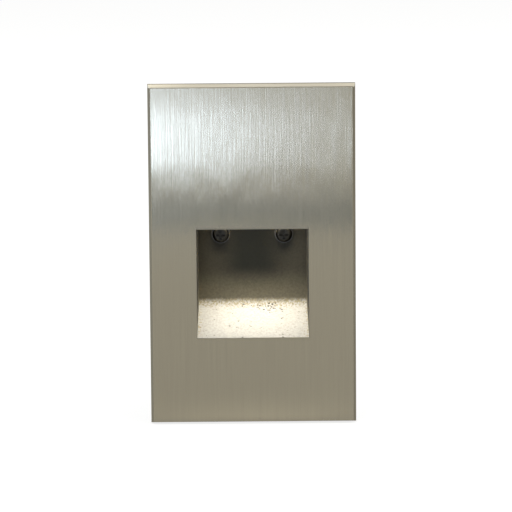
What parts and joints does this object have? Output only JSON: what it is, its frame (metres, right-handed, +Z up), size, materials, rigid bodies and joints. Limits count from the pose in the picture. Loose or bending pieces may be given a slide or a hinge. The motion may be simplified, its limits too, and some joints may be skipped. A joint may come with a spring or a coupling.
{
  "type": "recessed step light",
  "caption": "Recessed wall step light: brushed metal faceplate with a square scoop recess lit by a hidden lamp above it, on a cast housing for a single-gang device box.",
  "frame": {"origin": "midpoint of the two device-box screw holes, in the plane of the wall's surface", "axes": "+Z up along the faceplate's long side, +Y into the wall, so the brushed face looks along -Y, +X to the viewer's right"},
  "size_m": [0.0762, 0.0455, 0.127],
  "materials": {
    "brushed_face": "vertically brushed face, as-cast scoop",
    "foam_black": "closed-cell foam",
    "plate_screw": "plain steel, turned head",
    "washer_nylon": "moulded sealing washer",
    "zinc_steel": "zinc plated, pressed",
    "zinc_screw": "zinc plated",
    "earth_green": "green dyed zinc plating",
    "housing_paint": "die cast, lightly shot blasted",
    "sink_aluminium": "milled, clear anodised",
    "retainer_steel": "stamped stainless",
    "pad_grey": "silicone thermal pad",
    "board_white": "white solder mask",
    "led_glow": "phosphor under clear silicone",
    "nylon_white": "moulded nylon",
    "reflector_white": "white polycarbonate",
    "silicone": "moulded silicone",
    "lens_frost": "frosted polycarbonate",
    "lead_red": "PVC insulation",
    "lead_black": "PVC insulation",
    "rubber_black": "moulded rubber",
    "board_green": "green solder mask",
    "ferrite": "sintered ferrite",
    "coil_tape": "polyester winding tape",
    "can_black": "sleeved aluminium can",
    "can_blue": "sleeved aluminium can",
    "film_yellow": "moulded box",
    "fuse_ceramic": "ceramic tube, plated caps",
    "varistor_blue": "epoxy dip",
    "epoxy_black": "moulded epoxy",
    "terminal_green": "moulded nylon",
    "cover_black": "moulded, light texture"
  },
  "bodies": {
    "wall_unit": {"mounting_strap": "zinc_steel", "strap_screws": "zinc_screw", "earth_screw": "earth_green", "rear_housing": "housing_paint", "heat_sink": "sink_aluminium", "heat_sink_screws": "zinc_screw", "thermal_pad": "pad_grey", "led_board": "board_white", "led_chips": "led_glow", "led_connector": "nylon_white", "reflector": "reflector_white", "lens_gasket": "silicone", "lens": "lens_frost", "lens_retainer": "retainer_steel", "lens_screws": "zinc_screw", "led_lead_positive": "lead_red", "led_lead_negative": "lead_black", "lead_seal": "rubber_black", "driver_board": "board_green", "driver_board_screws": "zinc_screw", "transformer_core": "ferrite", "transformer_coil": "coil_tape", "input_capacitor": "can_black", "output_capacitor": "can_blue", "film_capacitor": "film_yellow", "filter_choke": "ferrite", "fuse": "fuse_ceramic", "varistor": "varistor_blue", "bridge_rectifier": "epoxy_black", "control_chip": "epoxy_black", "input_terminal": "terminal_green", "output_connector": "nylon_white", "rear_cover": "cover_black", "cover_gasket": "silicone", "cover_screws": "zinc_screw", "lead_grommet": "rubber_black"},
    "faceplate": {"faceplate": "brushed_face", "wall_gasket": "foam_black"},
    "washer_left": {"screw_washer_left": "washer_nylon"},
    "screw_left": {"faceplate_screw_left": "plate_screw"},
    "washer_right": {"screw_washer_right": "washer_nylon"},
    "screw_right": {"faceplate_screw_right": "plate_screw"}
  },
  "joints": [
    {"name": "faceplate_lift", "type": "slide", "parent": "wall_unit", "child": "faceplate", "axis": [0, -1, 0], "range_m": [0, 0.03]},
    {"name": "screw_left_travel", "type": "slide", "parent": "faceplate", "child": "washer_left", "axis": [0, -1, 0], "range_m": [0, 0.007]},
    {"name": "screw_left_turn", "type": "hinge", "parent": "washer_left", "child": "screw_left", "pos_m": [-0.0118, 0, 0.0047], "axis": [0, -1, 0], "range_deg": [0, 3600]},
    {"name": "screw_right_travel", "type": "slide", "parent": "faceplate", "child": "washer_right", "axis": [0, -1, 0], "range_m": [0, 0.007]},
    {"name": "screw_right_turn", "type": "hinge", "parent": "washer_right", "child": "screw_right", "pos_m": [0.0118, 0, 0.0047], "axis": [0, -1, 0], "range_deg": [0, 3600]}
  ],
  "couplings": [
    {"joint": "screw_left_turn", "follows": "screw_left_travel", "rad_per_m": 8976},
    {"joint": "screw_right_turn", "follows": "screw_right_travel", "rad_per_m": 8976}
  ]
}
